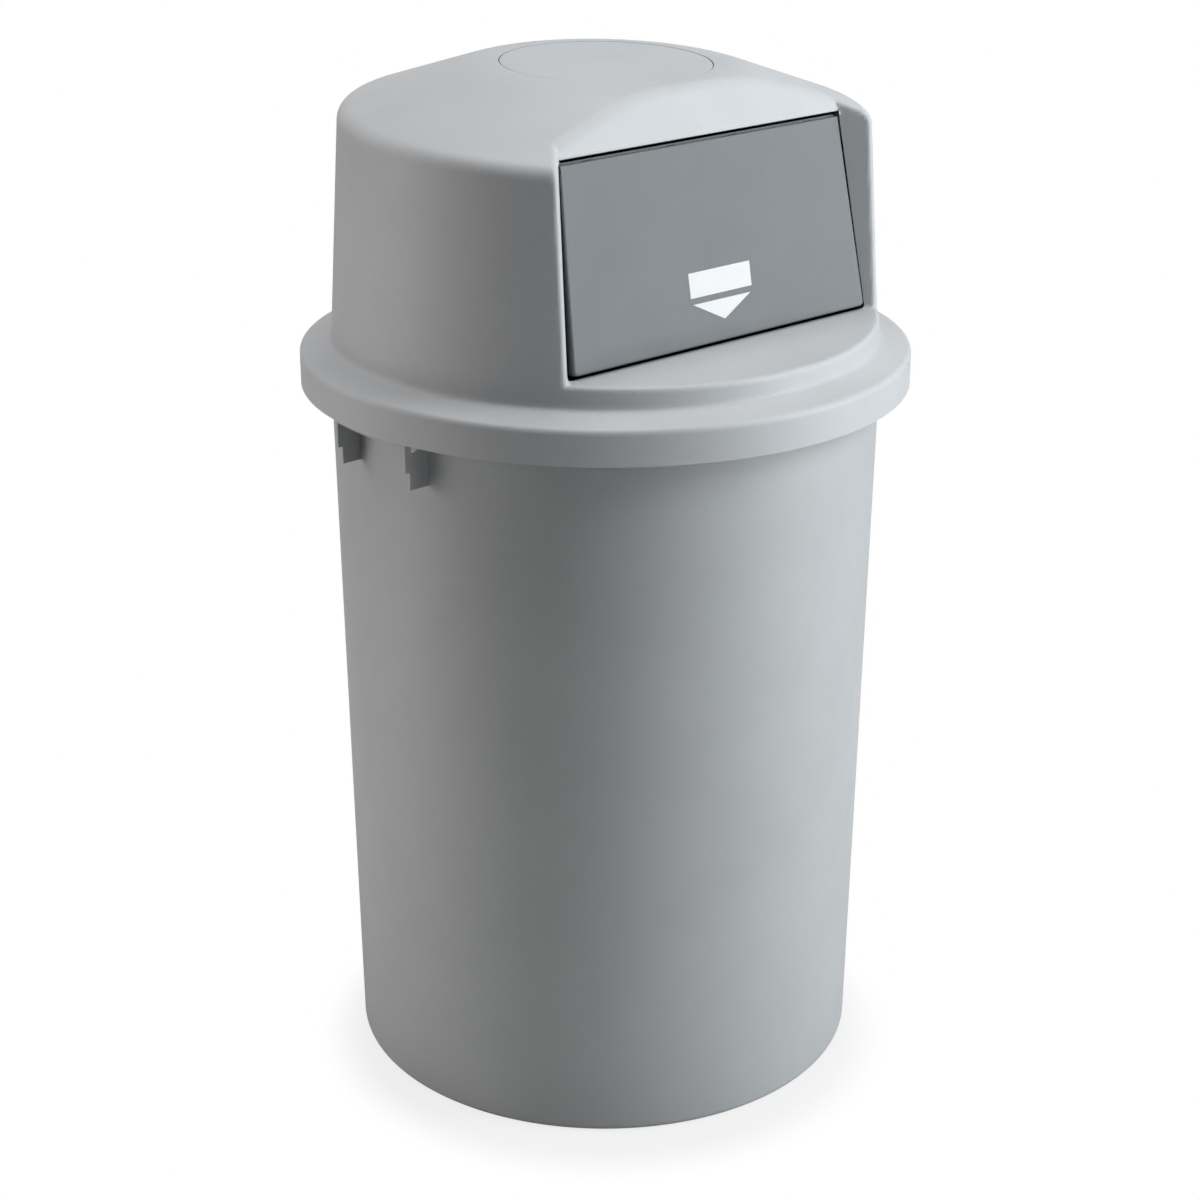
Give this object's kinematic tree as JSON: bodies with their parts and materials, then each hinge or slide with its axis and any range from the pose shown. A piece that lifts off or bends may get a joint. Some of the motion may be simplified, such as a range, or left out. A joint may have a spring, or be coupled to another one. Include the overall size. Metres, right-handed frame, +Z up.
{
  "type": "waste bin",
  "caption": "Tall round outdoor waste bin: tapered tub with an overhanging rim and hand grips, lift-off domed lid with a recessed, sprung push flap.",
  "frame": {"origin": "centre of the tub's foot, on the ground", "axes": "+Z up, -Y the way the flap faces, +X to the right for someone who faces the flap"},
  "size_m": [0.5649, 0.565, 0.9615],
  "materials": {
    "tub_plastic": "fine moulded grain, light grey",
    "lid_plastic": "satin, light grey",
    "flap_plastic": "satin, dark blue-grey",
    "plated_steel": "zinc plated",
    "spring_steel": "drawn wire and strip",
    "rubber": "matt black"
  },
  "bodies": {
    "tub": {"tub": "tub_plastic"},
    "lid": {"lid": "lid_plastic", "crown_disc": "lid_plastic", "hinge_rod": "plated_steel", "bracket_left": "lid_plastic", "bracket_right": "lid_plastic", "spring_left": "spring_steel", "spring_right": "spring_steel", "rod_clip_left": "spring_steel", "rod_clip_right": "spring_steel", "stop_pad_left": "rubber", "stop_pad_right": "rubber", "bracket_screws": "plated_steel"},
    "flap": {"flap": "flap_plastic"}
  },
  "joints": [
    {"name": "lid_lift", "type": "slide", "parent": "tub", "child": "lid", "axis": [0, 0, 1], "range_m": [0, 0.15]},
    {"name": "flap_push", "type": "hinge", "parent": "lid", "child": "flap", "pos_m": [0, -0.12219, 0.89986], "axis": [1, 0, 0], "range_deg": [0, 65], "stiffness_Nm_per_rad": 0.44, "springref_deg": -28.65, "deforming": ["spring_left", "spring_right"]}
  ]
}
